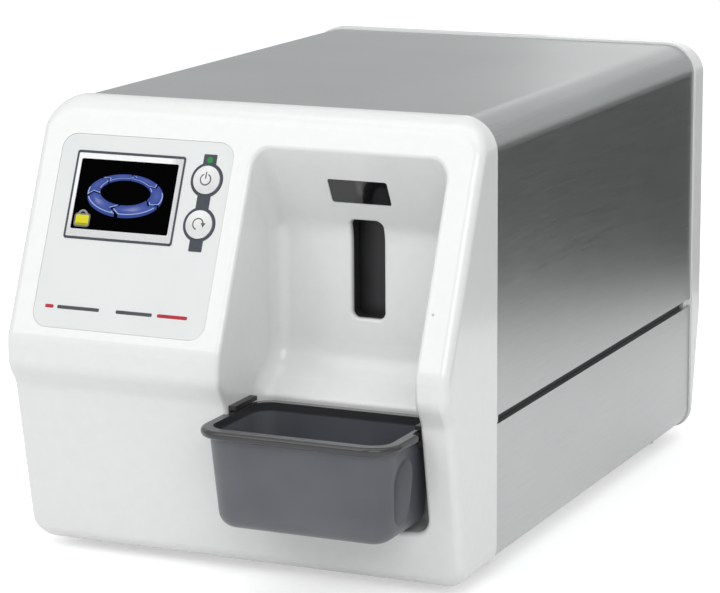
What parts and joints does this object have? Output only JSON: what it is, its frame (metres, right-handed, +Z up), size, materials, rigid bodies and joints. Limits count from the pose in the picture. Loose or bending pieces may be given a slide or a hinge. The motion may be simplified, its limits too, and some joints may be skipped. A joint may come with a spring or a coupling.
{
  "type": "imaging plate scanner",
  "caption": "Tabletop scanner with a leaning control face, a recessed upright feed slot over a pull-out collection tray, and a metal casing.",
  "frame": {"origin": "centre of the object's outline on the surface that its feet stand on", "axes": "+Z up, front with display and tray towards -Y, +X to the right when facing the front"},
  "size_m": [0.203, 0.348, 0.1944],
  "materials": {
    "cover_white": "glossy",
    "satin_metal": "satin",
    "black_plastic": "matte",
    "rubber": "matte",
    "screw_steel": "satin",
    "panel_film": "matte",
    "slate_print": "matte",
    "bezel_white": "matte",
    "display_glass": "glossy",
    "board_green": "matte",
    "led_green": "glossy",
    "smoked_glass": "smoked, glossy",
    "smoky_tray": "smoky, satin outside",
    "frame_aluminium": "satin",
    "ground_steel": "ground",
    "motor_black": "satin",
    "brass": "satin",
    "mirror_steel": "polished",
    "clear_acrylic": "clear",
    "ribbon_grey": "matte",
    "chrome_wire": "bright",
    "plate_silver": "satin",
    "button_white": "satin"
  },
  "bodies": {
    "chassis": {"front_cover": "cover_white", "rear_cover": "cover_white", "top_cover": "satin_metal", "base_chassis": "satin_metal", "seam_liners": "black_plastic", "feet": "rubber", "foot_screws": "screw_steel", "cover_screws": "screw_steel", "panel_overlay": "panel_film", "button_surround": "slate_print", "display_outline": "slate_print", "display_bezel": "bezel_white", "display_window": "display_glass", "display_module": "screw_steel", "panel_board": "board_green", "panel_studs": "cover_white", "tact_switches": "black_plastic", "status_led": "led_green", "smoked_window": "smoked_glass", "slot_bezel": "black_plastic", "tray_rails": "black_plastic", "door_guide": "frame_aluminium", "door_motor": "screw_steel", "door_motor_mount": "frame_aluminium", "mech_base": "frame_aluminium", "mech_posts": "frame_aluminium", "rod_brackets": "frame_aluminium", "guide_rods": "ground_steel", "screw_bearings": "ground_steel", "carriage_motor": "motor_black", "home_sensor": "black_plastic", "scan_housing": "motor_black", "scan_motor": "motor_black", "laser_module": "brass", "light_guide": "clear_acrylic", "photomultiplier": "ground_steel", "eraser_lamp": "black_plastic", "main_board": "board_green", "board_standoffs": "ground_steel", "power_supply": "satin_metal", "ribbon_cable": "ribbon_grey", "fan_frame": "black_plastic", "fan_guard": "chrome_wire", "power_inlet": "black_plastic", "inlet_pins": "ground_steel", "rocker_frame": "black_plastic", "network_socket": "ground_steel", "rating_plate": "plate_silver"},
    "tray": {"collection_tray": "smoky_tray"},
    "power_key": {"power_button": "button_white"},
    "restart_key": {"restart_button": "button_white"},
    "shutter": {"feed_door": "black_plastic"},
    "shutter_gear": {"door_gear": "black_plastic"},
    "carriage": {"plate_carriage": "frame_aluminium", "carriage_nut": "brass"},
    "drive_screw": {"leadscrew": "ground_steel"},
    "mirror_rotor": {"scan_mirror": "mirror_steel"},
    "fan": {"fan_rotor": "black_plastic"},
    "rocker": {"mains_rocker": "black_plastic"}
  },
  "joints": [
    {"name": "tray_slide", "type": "slide", "parent": "chassis", "child": "tray", "axis": [0, -1, 0], "range_m": [0, 0.05]},
    {"name": "power_press", "type": "slide", "parent": "chassis", "child": "power_key", "axis": [0, 0.9185, -0.3954], "range_m": [0, 0.0008], "stiffness_N_per_m": 800},
    {"name": "restart_press", "type": "slide", "parent": "chassis", "child": "restart_key", "axis": [0, 0.9185, -0.3954], "range_m": [0, 0.0008], "stiffness_N_per_m": 800},
    {"name": "door_gear_turn", "type": "hinge", "parent": "chassis", "child": "shutter_gear", "pos_m": [0.048, -0.0787, 0.1564], "axis": [0, -1, 0], "range_deg": [0, 122]},
    {"name": "door_slide", "type": "slide", "parent": "chassis", "child": "shutter", "axis": [1, 0, 0], "range_m": [0, 0.017]},
    {"name": "carriage_travel", "type": "slide", "parent": "chassis", "child": "carriage", "axis": [0, 1, 0], "range_m": [0, 0.13]},
    {"name": "leadscrew_turn", "type": "hinge", "parent": "chassis", "child": "drive_screw", "pos_m": [0.068, 0.0235, 0.1264], "axis": [0, 1, 0], "continuous": true},
    {"name": "mirror_spin", "type": "hinge", "parent": "chassis", "child": "mirror_rotor", "pos_m": [0.004, 0.0535, 0.1134], "axis": [0, 0, 1], "continuous": true},
    {"name": "fan_spin", "type": "hinge", "parent": "chassis", "child": "fan", "pos_m": [0.048, 0.1615, 0.1274], "axis": [0, 1, 0], "continuous": true},
    {"name": "mains_rocker_tilt", "type": "hinge", "parent": "chassis", "child": "rocker", "pos_m": [-0.03, 0.1655, 0.0934], "axis": [-1, 0, 0], "range_deg": [0, 14]}
  ],
  "couplings": [
    {"joint": "door_gear_turn", "follows": "door_slide", "rad_per_m": 125},
    {"joint": "leadscrew_turn", "follows": "carriage_travel", "rad_per_m": 628.32}
  ]
}
